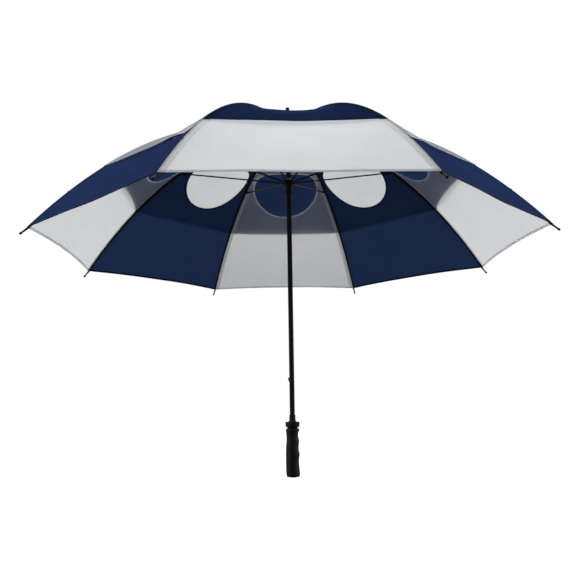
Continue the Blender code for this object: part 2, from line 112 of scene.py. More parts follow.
# ---- Node materials ----
class Nodes:
    """A short way to write a material's node tree."""

    def __init__(self, name):
        self.material = bpy.data.materials.new(name)
        self.material.use_nodes = True
        self.tree = self.material.node_tree
        self.shader = self.tree.nodes["Principled BSDF"]
        self.output = self.tree.nodes["Material Output"]

    def new(self, kind, settings=None, **inputs):
        node = self.tree.nodes.new(kind)
        for key, value in (settings or {}).items():
            setattr(node, key, value)
        for key, value in inputs.items():
            self.put(node.inputs[key.replace("_", " ")], value)
        return node

    def put(self, socket, value):
        if isinstance(value, bpy.types.NodeSocket):
            self.tree.links.new(value, socket)
        elif isinstance(value, (tuple, list)) and len(value) == 3 and len(socket.default_value) == 4:
            socket.default_value = (*value, 1.0)
        else:
            socket.default_value = value

    def set(self, **inputs):
        for key, value in inputs.items():
            self.put(self.shader.inputs[key.replace("_", " ")], value)

    def math(self, operation, first, second=0.0, third=0.0):
        node = self.new("ShaderNodeMath", {"operation": operation})
        for socket, value in zip(node.inputs, (first, second, third)):
            self.put(socket, value)
        return node.outputs[0]

    def ramp(self, value, *stops):
        """A value turned to another by (place, level) stops."""
        node = self.new("ShaderNodeValToRGB", Fac=value)
        while len(node.color_ramp.elements) < len(stops):
            node.color_ramp.elements.new(0.5)
        for element, (place, level) in zip(node.color_ramp.elements, stops):
            element.position = place
            colour = level if isinstance(level, tuple) else (level, level, level)
            element.color = (*colour, 1.0)
        return node.outputs["Color"]

    def noise(self, scale, detail=3.0, roughness=0.5, vector=None):
        node = self.new("ShaderNodeTexNoise", Scale=scale, Detail=detail, Roughness=roughness)
        if vector is not None:
            self.put(node.inputs["Vector"], vector)
        return node.outputs["Fac"]

    def place(self):
        return self.new("ShaderNodeTexCoord").outputs["Object"]

    def uv(self, name):
        return self.new("ShaderNodeUVMap", {"uv_map": name}).outputs["UV"]

    def stretch(self, vector, scale):
        return self.new("ShaderNodeMapping", Vector=vector, Scale=scale).outputs["Vector"]

    def mix(self, factor, first, second):
        node = self.new("ShaderNodeMix", {"data_type": "RGBA"})
        self.put(node.inputs["Factor"], factor)
        self.put(node.inputs[6], first)
        self.put(node.inputs[7], second)
        return node.outputs[2]

    def bump(self, height, strength, distance, normal=None):
        node = self.new("ShaderNodeBump", Strength=strength, Distance=distance, Height=height)
        if normal is not None:
            self.put(node.inputs["Normal"], normal)
        return node.outputs["Normal"]


def cloth_material(name, colour, deep_colour, light_through, see_through, sheen, gloss):
    """Woven cloth: threads both ways, uneven dye, and light that shines through."""
    made = Nodes(name)
    uv = made.uv("cloth")
    parts = made.new("ShaderNodeSeparateXYZ", Vector=uv)
    across, along = parts.outputs[0], parts.outputs[1]
    threads = 2 * math.pi / 0.00045
    warp = made.math("SINE", made.math("MULTIPLY", across, threads))
    weft = made.math("SINE", made.math("MULTIPLY", along, threads))
    weave = made.math("MULTIPLY_ADD", made.math("MULTIPLY", warp, weft), 0.5, 0.5)
    ripstop = made.math("PINGPONG", across, 0.0030)
    ripstop_along = made.math("PINGPONG", along, 0.0030)
    cross = made.math("MINIMUM", ripstop, ripstop_along)
    grid = made.ramp(made.math("MULTIPLY", cross, 1000.0), (0.0, 1.0), (0.22, 0.0))
    place = made.place()
    cloudy = made.noise(7.0, 4.0, 0.6, place)
    slub = made.noise(900.0, 2.0, 0.5, made.stretch(uv, (1.0, 0.06, 1.0)))
    dyed = made.mix(made.ramp(cloudy, (0.35, 0.0), (0.68, 1.0)), colour, deep_colour)
    threaded = made.mix(made.math("MULTIPLY", weave, 0.16), dyed, deep_colour)
    finished = made.mix(made.ramp(slub, (0.45, 0.0), (0.75, 0.30)), threaded, deep_colour)
    coarse = made.bump(cloudy, 0.25, 0.002)
    ribbed = made.bump(grid, 0.20, 0.00012, coarse)
    normal = made.bump(weave, 0.35, 0.00010, ribbed)
    rough = made.ramp(made.noise(30.0, 3.0, 0.6, place), (0.3, 0.58), (0.7, 0.74))
    made.set(Base_Color=finished, Roughness=rough, Normal=normal)
    made.set(Sheen_Weight=sheen, Sheen_Roughness=0.45, Specular_IOR_Level=gloss)
    through = made.new("ShaderNodeBsdfTranslucent", Normal=normal)
    made.put(through.inputs["Color"], made.mix(0.35, light_through, finished))
    blend = made.new("ShaderNodeMixShader")
    blend.inputs[0].default_value = see_through
    made.tree.links.new(made.shader.outputs[0], blend.inputs[1])
    made.tree.links.new(through.outputs[0], blend.inputs[2])
    made.tree.links.new(blend.outputs[0], made.output.inputs["Surface"])
    return made.material


def tape_material(name, colour, deep_colour):
    """Narrow woven binding tape, ribbed across its width."""
    made = Nodes(name)
    uv = made.uv("cloth")
    along = made.new("ShaderNodeSeparateXYZ", Vector=uv).outputs[1]
    ribs = made.math("MULTIPLY_ADD", made.math("SINE", made.math("MULTIPLY", along, 2 * math.pi / 0.0006)), 0.5, 0.5)
    shade = made.mix(made.math("MULTIPLY", ribs, 0.5), colour, deep_colour)
    worn = made.mix(made.ramp(made.noise(120.0, 3.0, 0.6, made.place()), (0.4, 0.0), (0.8, 0.5)), shade, deep_colour)
    rough = made.ramp(ribs, (0.0, 0.85), (1.0, 0.68))
    made.set(Base_Color=worn, Roughness=rough, Normal=made.bump(ribs, 0.5, 0.0001))
    made.set(Sheen_Weight=0.03, Specular_IOR_Level=0.05)
    return made.material


def thread_material(name, colour, deep_colour):
    made = Nodes(name)
    place = made.place()
    twist = made.noise(2500.0, 2.0, 0.5, place)
    made.set(
        Base_Color=made.mix(twist, colour, deep_colour), Roughness=made.ramp(twist, (0.3, 0.45), (0.7, 0.62)),
        Normal=made.bump(twist, 0.6, 0.00015),
    )
    return made.material


def moulded_material(name, colour, worn_colour, rough, grain, grain_depth):
    """Moulded plastic or rubber: a pebbled skin, polish where hands touch and pale rubbed edges."""
    made = Nodes(name)
    place = made.place()
    pebble = made.new("ShaderNodeTexVoronoi", Scale=grain, Vector=place).outputs["Distance"]
    fine = made.noise(grain * 2.2, 3.0, 0.6, place)
    skin = made.math("ADD", made.math("MULTIPLY", pebble, 0.7), made.math("MULTIPLY", fine, 0.5))
    edges = made.ramp(made.new("ShaderNodeNewGeometry").outputs["Pointiness"], (0.52, 0.0), (0.60, 1.0))
    patches = made.noise(45.0, 4.0, 0.65, place)
    rubbed = made.math("MULTIPLY", edges, made.ramp(patches, (0.35, 0.15), (0.7, 0.8)))
    dusty = made.mix(made.ramp(patches, (0.45, 0.0), (0.75, 0.35)), colour, worn_colour)
    made.set(
        Base_Color=made.mix(rubbed, dusty, worn_colour),
        Roughness=made.ramp(patches, (0.25, rough - 0.10), (0.75, rough + 0.08)),
        Normal=made.bump(skin, 0.35, grain_depth),
    )
    made.set(Specular_IOR_Level=0.25)
    return made.material


def painted_material(name, colour, worn_colour, rough, streak):
    """Satin paint or resin over a tube or rod: faint runs along it, fine dust and rubbed edges."""
    made = Nodes(name)
    place = made.place()
    runs = made.noise(420.0, 3.0, 0.5, made.stretch(place, streak))
    orange = made.noise(700.0, 2.0, 0.5, place)
    scuffs = made.noise(60.0, 5.0, 0.7, place)
    edges = made.ramp(made.new("ShaderNodeNewGeometry").outputs["Pointiness"], (0.53, 0.0), (0.62, 1.0))
    base = made.mix(made.ramp(scuffs, (0.55, 0.0), (0.78, 0.45)), colour, worn_colour)
    made.set(
        Base_Color=made.mix(made.math("MULTIPLY", edges, 0.6), base, worn_colour),
        Roughness=made.ramp(runs, (0.3, rough - 0.07), (0.7, rough + 0.10)),
        Normal=made.bump(orange, 0.12, 0.0001, made.bump(runs, 0.10, 0.0001)),
    )
    made.set(Coat_Weight=0.03, Coat_Roughness=0.22, Specular_IOR_Level=0.12)
    return made.material


def steel_material(name, colour, dull_colour):
    made = Nodes(name)
    place = made.place()
    brushed = made.noise(500.0, 3.0, 0.6, made.stretch(place, (1.0, 1.0, 0.08)))
    stains = made.noise(90.0, 4.0, 0.6, place)
    made.set(
        Base_Color=made.mix(made.ramp(stains, (0.4, 0.0), (0.75, 0.7)), colour, dull_colour),
        Roughness=made.ramp(brushed, (0.3, 0.24), (0.7, 0.42)), Normal=made.bump(brushed, 0.18, 0.0001),
    )
    made.set(Metallic=1.0)
    return made.material


NAVY = cloth_material(
    "navy_cloth", (0.0150, 0.0300, 0.0930), (0.0105, 0.0215, 0.0690), (0.034, 0.064, 0.165), 0.28, 0.0, 0.0,
)
WHITE = cloth_material(
    "white_cloth", (0.69, 0.705, 0.73), (0.60, 0.615, 0.645), (0.93, 0.94, 0.95), 0.50, 0.02, 0.10,
)
# Band of doubled white cloth beside each rib: its colour is partly brighter from the second layer and partly a painted
# highlight for light caught where the cloth rises to the rib.
WHITE_DOUBLED_HIGHLIT = cloth_material(
    "white_doubled_highlit_cloth", (0.96, 0.965, 0.975), (0.90, 0.91, 0.93), (0.92, 0.92, 0.93), 0.22, 0.06, 0.25,
)
NAVY_TAPE = tape_material("navy_tape", (0.009, 0.014, 0.036), (0.004, 0.006, 0.016))
NAVY_THREAD = thread_material("navy_thread", (0.020, 0.035, 0.100), (0.008, 0.014, 0.045))
WHITE_THREAD = thread_material("white_thread", (0.82, 0.83, 0.85), (0.55, 0.56, 0.60))
BLACK_THREAD = thread_material("black_thread", (0.018, 0.018, 0.022), (0.006, 0.006, 0.008))
RUBBER = moulded_material("grip_rubber", (0.0070, 0.0070, 0.0076), (0.024, 0.024, 0.025), 0.66, 900.0, 0.00025)
PLASTIC = moulded_material("black_plastic", (0.0080, 0.0080, 0.0086), (0.030, 0.030, 0.032), 0.46, 1600.0, 0.00008)
SHAFT_PAINT = painted_material("shaft_paint", (0.0070, 0.0070, 0.0075), (0.022, 0.022, 0.024), 0.48, (1.0, 1.0, 0.03))
ROD_RESIN = painted_material("rod_resin", (0.0060, 0.0060, 0.0066), (0.022, 0.022, 0.023), 0.40, (0.3, 0.3, 0.3))
LINK_PAINT = painted_material("link_paint", (0.0070, 0.0070, 0.0076), (0.030, 0.030, 0.031), 0.40, (0.5, 0.5, 0.5))
STEEL = steel_material("bright_steel", (0.52, 0.52, 0.53), (0.30, 0.30, 0.31))


# ---- Mesh making ----
class Shape:
    """Points, faces, material slots and texture places gathered for one mesh."""

    def __init__(self):
        self.points, self.faces, self.slots, self.uvs, self.count = [], [], [], [], 0

    def add(self, points, faces, slot=0, uv=None):
        points = np.asarray(points, float).reshape(-1, 3)
        base = self.count
        self.count += len(points)
        self.points.append(points)
        self.faces += [tuple(base + i for i in face) for face in faces]
        self.slots += [slot] * len(faces)
        self.uvs.append(points[:, :2] if uv is None else np.asarray(uv, float).reshape(-1, 2))
        return self

    def grid(self, points, slot=0, uv=None, wrap=False, flip=False, ends=False):
        """Faces over a (rows, columns, 3) block of points. wrap closes the columns, ends caps the end rows."""
        rows, columns = points.shape[:2]
        faces = []
        for r in range(rows - 1):
            for c in range(columns if wrap else columns - 1):
                a, b = r * columns + c, r * columns + (c + 1) % columns
                quad = (a, b, b + columns, a + columns)
                faces.append(quad[::-1] if flip else quad)
        if ends:
            first, last = tuple(range(columns)), tuple(range((rows - 1) * columns, rows * columns))
            faces += [first if flip else first[::-1], last[::-1] if flip else last]
        return self.add(points, faces, slot, uv)

    def make(self, name, materials, solid=True, sharp=35.0, bevel=0.0, turn=None):
        mesh = bpy.data.meshes.new(name)
        points = np.concatenate(self.points)
        mesh.from_pydata(points.tolist(), [], self.faces)
        layer = mesh.uv_layers.new(name="cloth")
        index = np.empty(len(mesh.loops), int)
        mesh.loops.foreach_get("vertex_index", index)
        layer.data.foreach_set("uv", np.concatenate(self.uvs)[index].astype(np.float32).ravel())
        mesh.polygons.foreach_set("material_index", self.slots)
        if turn is not None:
            mesh.transform(turn)
        if solid:
            bm = bmesh.new()
            bm.from_mesh(mesh)
            bmesh.ops.remove_doubles(bm, verts=bm.verts, dist=0.000002)
            bmesh.ops.recalc_face_normals(bm, faces=bm.faces)
            bm.to_mesh(mesh)
            bm.free()
        mesh.polygons.foreach_set("use_smooth", [True] * len(mesh.polygons))
        mesh.set_sharp_from_angle(angle=math.radians(sharp))
        for material in materials:
            mesh.materials.append(material)
        item = bpy.data.objects.new(name, mesh)
        bpy.context.scene.collection.objects.link(item)
        if bevel:
            rounded = item.modifiers.new("Bevel", "BEVEL")
            rounded.width = bevel
            rounded.segments = 2
            rounded.limit_method = "ANGLE"
            rounded.angle_limit = math.radians(40)
        return item


def smooth_curve(points, steps):
    """Catmull-Rom points through the given ones, steps for each stretch."""
    given = np.asarray(points, float)
    ends = np.vstack([2 * given[0] - given[1], given, 2 * given[-1] - given[-2]])
    made = []
    for a, b, c, d in zip(ends, ends[1:], ends[2:], ends[3:]):
        for k in range(steps):
            t = k / steps
            bend, twist = 2 * a - 5 * b + 4 * c - d, 3 * b - 3 * c + d - a
            made.append(0.5 * (2 * b + (c - a) * t + bend * t**2 + twist * t**3))
    made.append(given[-1])
    return np.array(made)


def lathe(shape, profile, steps=64, slot=0):
    """A closed (radius, z) profile turned about a vertical axis."""
    ring = np.linspace(0, 2 * math.pi, steps, endpoint=False)
    profile = np.asarray(profile, float)
    closed = np.vstack([profile, profile[:1]]) if profile[0][0] > 0 or profile[-1][0] > 0 else profile
    points = np.empty((len(closed), steps, 3))
    points[..., 0] = closed[:, :1] * np.cos(ring)
    points[..., 1] = closed[:, :1] * np.sin(ring)
    points[..., 2] = closed[:, 1:]
    shape.grid(points, slot, wrap=True)
    return shape


def tube(shape, path, radii, sides=14, slot=0, closed=False):
    """A round tube along a path of points. Its sides are counted from the path's own plane."""
    path = np.asarray(path, float)
    radii = np.broadcast_to(np.asarray(radii, float), len(path))
    if closed:
        tangent = np.roll(path, -1, 0) - np.roll(path, 1, 0)
    else:
        tangent = np.gradient(path, axis=0)
    tangent /= np.linalg.norm(tangent, axis=1, keepdims=True)
    side = np.array([0.0, 1.0, 0.0]) if abs(tangent[0][1]) < 0.9 else np.array([1.0, 0.0, 0.0])
    frames = []
    for t in tangent:
        side = side - t * side.dot(t)
        side /= np.linalg.norm(side)
        frames.append((side, np.cross(t, side)))
    turn = np.linspace(0, 2 * math.pi, sides, endpoint=False)
    rings = np.array([
        p + r * (np.outer(np.cos(turn), a) + np.outer(np.sin(turn), b))
        for p, r, (a, b) in zip(path, radii, frames)
    ])
    if closed:
        rings = np.concatenate([rings, rings[:1]])
    shape.grid(rings, slot, wrap=True, ends=not closed)
    return shape


def prism(shape, outline, low, high, slot=0, matrix=None):
    """A flat (x, z) outline given a thickness along Y."""
    outline = np.asarray(outline, float)
    block = np.array([[(x, y, z) for x, z in outline] for y in (low, high)])
    if matrix is not None:
        block = np.array([[matrix @ Vector(p) for p in row] for row in block])
    return shape.grid(block, slot, wrap=True, ends=True)


def tongue(length, end_radius, half, steps=12):
    """The outline of a stamped tongue: a round eye at the origin, necking down to a straight tail."""
    start = math.asin(min(1.0, half / end_radius))
    arc = np.linspace(start, 2 * math.pi - start, steps)
    eye = [(end_radius * math.cos(a), end_radius * math.sin(a)) for a in arc]
    return eye + [(length, -half), (length, half)]


def revolve_along(shape, profile, start, slope, steps=20, slot=0):
    """A (radius, distance) profile turned about a line that runs down a slope in the XZ plane."""
    part = Shape()
    lathe(part, profile, steps)
    turn = Matrix.Translation((start[0], 0, start[1])) @ Matrix.Rotation(math.pi / 2 + slope, 4, "Y")
    points = [turn @ Vector(p) for p in part.points[0]]
    return shape.add(points, part.faces, slot)


def keep(item, body, node):
    """Rides a piece on a body, in place of a CAD node."""
    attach(item, body)
    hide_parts(node)
    return item


def cut(item, boxes):
    """Cuts boxes, each (low, high, turn about Z), from a piece."""
    bm = bmesh.new()
    for low, high, angle in boxes:
        size, middle = Vector(high) - Vector(low), (Vector(high) + Vector(low)) / 2
        place = Matrix.Rotation(angle, 4, "Z") @ Matrix.Translation(middle) @ Matrix.Diagonal((*size, 1.0))
        bmesh.ops.create_cube(bm, size=1.0, matrix=place)
    tool_mesh = bpy.data.meshes.new("cutter")
    bm.to_mesh(tool_mesh)
    bm.free()
    tool = bpy.data.objects.new("cutter", tool_mesh)
    bpy.context.scene.collection.objects.link(tool)
    change = item.modifiers.new("Cut", "BOOLEAN")
    change.operation = "DIFFERENCE"
    change.object = tool
    bpy.context.view_layer.update()
    done = bpy.data.meshes.new_from_object(item.evaluated_get(bpy.context.evaluated_depsgraph_get()))
    item.modifiers.clear()
    item.data = done
    done.polygons.foreach_set("use_smooth", [True] * len(done.polygons))
    done.set_sharp_from_angle(angle=math.radians(35))
    bpy.data.objects.remove(tool, do_unlink=True)
    return item


# ---- The dome and its ribs ----
def canopy_height(radius):
    return RIM_Z + DOME_HEIGHT * (1 - (radius / RIM_RADIUS) ** DOME_POWER)


def canopy_slope(radius):
    rate = DOME_HEIGHT * DOME_POWER / RIM_RADIUS
    return np.arctan(rate * (radius / RIM_RADIUS) ** (DOME_POWER - 1))


def rib_point(radius, nearer=0.0):
    """(distance from the axis, height) of a rib's centreline, or of a line that much nearer to the canopy."""
    slope = canopy_slope(radius)
    late = min(1.0, max(0.0, (radius - 0.43) / (RIB_END * RIM_RADIUS - 0.43)))
    under = RIB_OFFSET - RIB_RISE * late * late * (3 - 2 * late) - nearer
    return np.array([radius - under * np.sin(slope), canopy_height(radius) - under * np.cos(slope)])


def rib_path(start, end, pieces):
    return np.array([(p[0], 0.0, p[1]) for p in (rib_point(r) for r in np.linspace(start, end, pieces))])


def rib_angle(number):
    return HALF_PANEL + (number - 1) * 2 * HALF_PANEL


def turn_to(number):
    return Matrix.Rotation(rib_angle(number), 4, "Z")


def down_slope(origin, slope):
    return Matrix.Translation((origin[0], 0, origin[1])) @ Matrix.Rotation(float(slope), 4, "Y")


# ---- Shaft, crown and ferrule ----
def build_shaft():
    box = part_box("shaft_tube")
    catches = [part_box(name) for name in ("top_catch", "bottom_catch")]
    outer, inner = 0.0065, 0.0059
    shape = lathe(Shape(), [(outer, box[1].z), (outer, box[0].z), (inner, box[0].z), (inner, box[1].z)], 72)
    shaft = shape.make("shaft", [SHAFT_PAINT])
    slots = [((-0.012, -0.0016, c[1].z - 0.0235), (-0.003, 0.0016, c[1].z - 0.0015), 0.0) for c in catches]
    keep(cut(shaft, slots), "root", "shaft_tube")
    top = box[1].z + 0.0005
    cap = lathe(Shape(), smooth_profile([
        (0.0, 0.9975, 0), (0.0034, 0.9971, 1), (0.0050, 0.9957, 1), (0.0055, 0.9925, 1), (0.0056, 0.9890, 1),
        (0.0060, 0.9700, 1), (0.0066, 0.9560, 1), (0.0072, 0.9530, 1), (0.0084, 0.9513, 0), (0.0085, 0.9465, 0),
        (0.0082, 0.9460, 0), (0.0082, 0.9450, 0), (0.0085, 0.9445, 0), (0.0085, 0.9422, 0), (0.0082, 0.9419, 0),
        (0.0071, 0.9419, 0), (0.0071, top, 0), (0.0, top, 0),
    ]), 64)
    keep(cap.make("ferrule_cap", [PLASTIC]), "root", "ferrule")


def smooth_profile(points, steps=5):
    """(radius, z, round) corners: runs of corners marked round become a smooth curve."""
    made, run = [], [points[0][:2]]
    for point in points[1:]:
        run.append(point[:2])
        if not point[2]:
            made += [tuple(p) for p in (smooth_curve(run, steps) if len(run) > 2 else np.array(run))][:-1]
            run = [point[:2]]
    made += [tuple(p) for p in (smooth_curve(run, steps) if len(run) > 2 else np.array(run))]
    return [(max(0.0, r), z) for r, z in made]


def profile_mm(base, points):
    """A smooth profile from (radius, height above base) corners in millimetres; a third value marks a round one."""
    return smooth_profile([(p[0] / 1000, base + p[1] / 1000, len(p) > 2) for p in points])


def build_crown():
    z = CROWN[1]
    notch = lathe(Shape(), profile_mm(z, [
        (12, 2), (12, -0.9), (14, -0.9), (14, 1.3), (15.6, 1.2, 1), (16.4, 0.2), (16.5, -2.8), (15.8, -3.8, 1),
        (15, -4.2), (10.2, -4.7, 1), (9.2, -5.8, 1), (8.9, -8), (8.9, -10), (9.2, -10.3), (9.2, -11.2),
        (8.9, -11.5), (8.8, -16), (8.2, -17), (6.8, -17), (6.8, 2),
    ]), 96).make("crown_hub", [PLASTIC])
    slots = [((0.0100, -0.00145, z - 0.008), (0.022, 0.00145, z + 0.004), rib_angle(k)) for k in range(1, RIBS + 1)]
    keep(cut(notch, slots), "root", "crown_notch")
    keep(wire_ring(z).make("crown_wire", [STEEL]), "root", "crown_ring")
    washer = lathe(Shape(), profile_mm(0.0, [
        (8.5, 941.3), (11.8, 940.6, 1), (15, 938.7, 1), (16.8, 936.5, 1), (17, 935.6), (16.6, 935.3),
        (6.8, 935.3), (6.8, 941.3),
    ]), 72).make("crown_washer", [PLASTIC])
    keep(washer, "root", "crown_cap")


def wire_ring(z):
    """The wire that the ribs or stretchers hang on."""
    turn = np.linspace(0, 2 * math.pi, 96, endpoint=False)
    ring = np.stack([CROWN[0] * np.cos(turn), CROWN[0] * np.sin(turn), np.full(96, z)], 1)
    return tube(Shape(), ring, 0.00055, 10, closed=True)


# ---- Runner, catches and handle ----
def build_runner():
    z = RUNNER_PIVOT[1]
    body = lathe(Shape(), profile_mm(z, [
        (8.6, 6), (9.2, 5.4), (9.2, 3.1), (13, 2.9), (15.8, 2.5, 1), (16.5, 1.4), (16.5, -4), (16, -5, 1),
        (15, -5.6), (10.4, -6.2, 1), (9.3, -7.4), (9.2, -15), (9, -15.3), (9, -16.3), (9.2, -16.6),
        (9.2, -20, 1), (9.6, -23.2, 1), (10.2, -26.4, 1), (10.2, -29.8, 1), (9.6, -31.7, 1), (8.4, -32.5),
        (7.1, -32.5), (7.1, 6),
    ]), 96).make("runner_body", [PLASTIC])
    slots = [((0.0101, -0.0021, z - 0.009), (0.022, 0.0021, z + 0.004), rib_angle(k)) for k in range(1, RIBS + 1)]
    window = ((-0.013, -0.0021, z - 0.0275), (-0.0055, 0.0021, z - 0.0105), 0.0)
    keep(cut(body, slots + [window]), "runner", "runner")
    wire = wire_ring(z).make("runner_wire", [STEEL])
    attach(wire, "runner")
    low = z + 0.0066
    stop = Shape()
    lathe(stop, profile_mm(low, [
        (7.9, 3.5), (8.4, 3), (8.4, 0.6), (8, 0), (6.8, 0), (6.8, 3.5),
    ]), 48)
    keep(stop.make("stop_ring", [STEEL]), "root", "runner_stop")


def build_catches():
    """Bright sprung latches, each a folded strip with a wedge nose."""
    for name in ("top_catch", "bottom_catch"):
        low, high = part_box(name)
        pivot, tip = low.z + 0.002, high.z - 0.007
        outline = catch_outline(low.z, tip, high.z)
        shape = prism(Shape(), outline, -0.0012, 0.0012)
        prism(shape, [(-0.0030 + 0.0008 * math.cos(a), pivot + 0.0008 * math.sin(a)) for a in np.linspace(0, 6, 10)],
              -0.0014, 0.0014)
        keep(shape.make(f"{name}_spring", [STEEL], bevel=0.0003), name, name)


def catch_outline(low, tip, high):
    nose = smooth_curve([
        (-0.0036, tip - 0.0150), (-0.0056, tip - 0.0132), (-0.0080, tip - 0.0064), (-0.0099, tip - 0.0014),
        (-0.0101, tip + 0.0003), (-0.0093, tip + 0.0016), (-0.0050, tip + 0.0041), (-0.0036, tip + 0.0048),
    ], 4)
    return [(-0.0008, low), (-0.0036, low)] + [tuple(p) for p in nose] + [(-0.0036, high), (-0.0008, high)]


def build_handle():
    collar = lathe(Shape(), profile_mm(0.0, [
        (7.5, 155), (7.9, 154.5), (8, 150, 1), (8.3, 144, 1), (9, 140, 1), (10.4, 138.3, 1), (12, 137.9),
        (16.5, 137.6), (17.5, 137.1, 1), (18, 135.5), (18.1, 133), (18, 130, 1), (17.6, 126.8, 1), (16.6, 125),
        (15, 124.6), (13.9, 124, 1), (13.6, 122.6, 1), (13.7, 121.2), (6.8, 121.2), (6.8, 155),
    ]), 96).make("grip_collar", [RUBBER])
    keep(collar, "root", "handle_collar")
    back = smooth_curve([
        (0.0154, 0.1206), (0.0166, 0.1201), (0.0171, 0.1185), (0.0171, 0.1155), (0.0165, 0.1105), (0.0159, 0.1040),
        (0.0156, 0.0960), (0.0161, 0.0880), (0.0169, 0.0800), (0.0174, 0.0720), (0.0177, 0.0620), (0.0180, 0.0500),
        (0.0181, 0.0380), (0.0180, 0.0260), (0.0178, 0.0150), (0.0174, 0.0066),
    ], 8)
    front = smooth_curve([
        (0.0154, 0.1206), (0.0166, 0.1201), (0.0171, 0.1185), (0.0168, 0.1155), (0.0146, 0.1105), (0.0139, 0.1040),
        (0.0150, 0.0960), (0.0163, 0.0905), (0.0158, 0.0840), (0.0149, 0.0740), (0.0156, 0.0650), (0.0171, 0.0565),
        (0.0158, 0.0480), (0.0152, 0.0380), (0.0158, 0.0270), (0.0172, 0.0120), (0.0174, 0.0066),
    ], 8)
    heights = np.concatenate([np.linspace(0.1206, 0.1150, 14), np.linspace(0.1145, 0.0066, 150)])
    rear = np.interp(-heights, -back[:, 1], back[:, 0])
    fore = np.interp(-heights, -front[:, 1], front[:, 0])
    around = np.linspace(0, 2 * math.pi, 96, endpoint=False)
    facing = ((1 + np.cos(around)) / 2) ** 1.6
    radius = rear[:, None] * (1 - facing) + fore[:, None] * facing
    inside = (heights[:, None] < 0.112) & (heights[:, None] > 0.012)
    treads = np.clip(np.sin(heights * 2 * math.pi / 0.0036), 0, 1)[:, None] * np.clip(-np.cos(around) - 0.15, 0, 1)
    radius = radius + np.where(inside, 0.00035 * treads ** 0.6, 0.0)
    level = np.broadcast_to(heights[:, None], radius.shape)
    skin = np.stack([radius * np.cos(around), radius * np.sin(around), level], 2)
    bore = np.array([[(0.0068 * math.cos(a), 0.0068 * math.sin(a), z) for a in around] for z in (0.0066, 0.1206)])
    whole = np.concatenate([skin, bore, skin[:1]])
    grip = Shape().grid(whole, wrap=True).make("grip_sleeve", [RUBBER])
    keep(grip, "root", "handle_grip")
    end = lathe(Shape(), profile_mm(0.0, [
        (0, 16), (5.4, 16), (5.4, 6.2), (16.6, 6.1), (17.1, 5.4, 1), (17, 4.2, 1), (16, 2.4, 1), (14, 1.2, 1),
        (10, 0.3, 1), (6, 0), (0, 0),
    ]), 96).make("grip_end", [RUBBER])
    keep(end, "root", "handle_end_cap")


# ---- Ribs, stretchers and tips: built along +X, then turned to each rib ----
def rib_loops(shape, radii, slot):
    """Thread loops that tie the canopy's seam to a rib."""
    turn = np.linspace(0, 2 * math.pi, 20, endpoint=False)
    for radius in radii:
        slope = float(canopy_slope(radius))
        for shift in (-0.0007, 0.0, 0.0007):
            middle = rib_point(radius, 0.0016)
            along = np.array([math.cos(slope), 0, -math.sin(slope)])
            up = np.array([math.sin(slope), 0, math.cos(slope)])
            loop = [
                np.array([middle[0], 0, middle[1]]) + along * (shift + 0.0006 * math.sin(a))
                + up * 0.0040 * math.sin(a) + np.array([0, 0.0024 * math.cos(a), 0])
                for a in turn
            ]
            tube(shape, loop, 0.00028, 6, slot, closed=True)


def inner_rib():
    shape = Shape()
    tube(shape, rib_path(0.0190, JOINT_RADIUS - 0.0080, 60), 0.0022, 16)
    slope = float(canopy_slope(CROWN[0]))
    crown = down_slope(CROWN, slope)
    prism(shape, tongue(0.0100, 0.0023, 0.0015), -0.0011, 0.0011, 1, crown)
    revolve_along(shape, [(0, 0.0075), (0.0020, 0.0075), (0.0024, 0.0081), (0.0027, 0.0098), (0.0027, 0.0180),
                          (0.0025, 0.0186), (0, 0.0186)], CROWN, slope, slot=1)
    knee_slope = float(canopy_slope(JOINT_RADIUS))
    knee = down_slope(KNEE, knee_slope)
    cheek = [(-x, z) for x, z in tongue(0.0105, 0.0028, 0.0021)]
    for side in (-1, 1):
        prism(shape, cheek, min(side * 0.0014, side * 0.0026), max(side * 0.0014, side * 0.0026), 1, knee)
    block = [(-0.0105, -0.0021), (-0.0060, -0.0021), (-0.0060, 0.0021), (-0.0105, 0.0021)]
    prism(shape, block, -0.0026, 0.0026, 1, knee)
    revolve_along(shape, [(0, -0.0190), (0.0025, -0.0190), (0.0027, -0.0184), (0.0027, -0.0100), (0, -0.0098)],
                  KNEE, knee_slope, slot=1)
    rib_loops(shape, (0.10, 0.20, 0.29), 2)
    return shape


def outer_rib():
    shape = Shape()
    path = rib_path(JOINT_RADIUS + 0.0070, RIB_END * RIM_RADIUS, 80)
    tube(shape, path, np.linspace(0.0022, 0.0019, len(path)), 16)
    slope = float(canopy_slope(JOINT_RADIUS))
    knee = down_slope(KNEE, slope)
    prism(shape, tongue(0.0090, 0.0026, 0.0016), -0.0011, 0.0011, 1, knee)
    revolve_along(shape, [(0, 0.0064), (0.0020, 0.0064), (0.0024, 0.0072), (0.0027, 0.0092), (0.0027, 0.0190),
                          (0.0025, 0.0196), (0, 0.0196)], KNEE, slope, slot=1)
    pin = [(math.cos(a) * 0.00095, math.sin(a) * 0.00095) for a in np.linspace(0, 2 * math.pi, 16, endpoint=False)]
    prism(shape, pin, -0.0041, 0.0041, 3, knee)
    for side in (-1, 1):
        part = Shape()
        lathe(part, [(0.0, 0.0052), (0.0008, 0.0051), (0.0014, 0.0048), (0.0018, 0.0043), (0.0018, 0.0041),
                     (0.0, 0.0041)], 20)
        turn = knee @ Matrix.Rotation(-side * math.pi / 2, 4, "X")
        shape.add([turn @ Vector(p) for p in part.points[0]], part.faces, 3)
    rib_loops(shape, (0.40, 0.49, 0.57), 2)
    return shape


